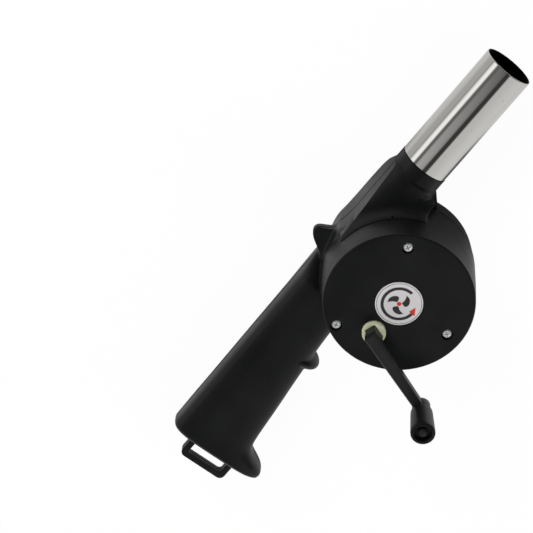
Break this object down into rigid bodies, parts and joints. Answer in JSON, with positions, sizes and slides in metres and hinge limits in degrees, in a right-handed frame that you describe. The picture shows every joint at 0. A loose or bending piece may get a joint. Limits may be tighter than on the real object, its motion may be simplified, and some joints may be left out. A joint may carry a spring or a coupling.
{
  "type": "barbecue blower",
  "caption": "Hand-cranked barbecue blower: a crank and gear train spin an impeller in a round housing with a long handle, and a steel tube carries the air out.",
  "frame": {"origin": "on the flat back of the drum, on the axis of the impeller", "axes": "+Z out of the front, along the axes of the impeller and the crank; +Y along the outlet tube towards its mouth, away from the handle; the drum lies on the +X side of the tube and the handle"},
  "size_m": [0.0936, 0.2659, 0.0826],
  "materials": {
    "front_shell": "satin black, fine moulded grain",
    "back_shell": "satin black, fine moulded grain",
    "gear_cover": "satin black",
    "outlet_tube": "polished stainless steel",
    "crank_gear": "cream nylon",
    "crank_arm": "satin black",
    "crank_knob": "satin black",
    "idler_gear": "cream nylon",
    "idler_pin": "bright",
    "fan_pinion": "cream nylon",
    "impeller": "satin black",
    "impeller_shaft": "bright",
    "label_disc": "pale grey film",
    "cover_screw_1": "zinc plated",
    "cover_screw_2": "zinc plated",
    "cover_screw_3": "zinc plated",
    "body_screw_1": "zinc plated",
    "body_screw_2": "zinc plated",
    "body_screw_3": "zinc plated",
    "body_screw_4": "zinc plated",
    "body_screw_5": "zinc plated",
    "body_screw_6": "zinc plated"
  },
  "bodies": {
    "housing": {"front_shell": "front_shell", "back_shell": "back_shell", "gear_cover": "gear_cover", "outlet_tube": "outlet_tube", "label_disc": "label_disc", "idler_pin": "idler_pin", "cover_screw_1": "cover_screw_1", "cover_screw_2": "cover_screw_2", "cover_screw_3": "cover_screw_3", "body_screw_1": "body_screw_1", "body_screw_2": "body_screw_2", "body_screw_3": "body_screw_3", "body_screw_4": "body_screw_4", "body_screw_5": "body_screw_5", "body_screw_6": "body_screw_6"},
    "crank": {"crank_gear": "crank_gear", "crank_arm": "crank_arm"},
    "knob": {"crank_knob": "crank_knob"},
    "idler": {"idler_gear": "idler_gear"},
    "fan": {"impeller": "impeller", "impeller_shaft": "impeller_shaft", "fan_pinion": "fan_pinion"}
  },
  "joints": [
    {"name": "crank_spin", "type": "hinge", "parent": "housing", "child": "crank", "pos_m": [0, -0.0194, 0.043], "axis": [0, 0, 1], "continuous": true},
    {"name": "knob_spin", "type": "hinge", "parent": "crank", "child": "knob", "pos_m": [0.04078, -0.03424, 0.0725], "axis": [0, 0, 1], "continuous": true},
    {"name": "idler_spin", "type": "hinge", "parent": "housing", "child": "idler", "pos_m": [0.01419, -0.01041, 0.0375], "axis": [0, 0, 1], "continuous": true},
    {"name": "fan_spin", "type": "hinge", "parent": "housing", "child": "fan", "pos_m": [0, 0, 0.02], "axis": [0, 0, 1], "continuous": true}
  ],
  "couplings": [
    {"joint": "idler_spin", "follows": "crank_spin", "ratio": -3.2},
    {"joint": "fan_spin", "follows": "crank_spin", "ratio": 10.88}
  ]
}
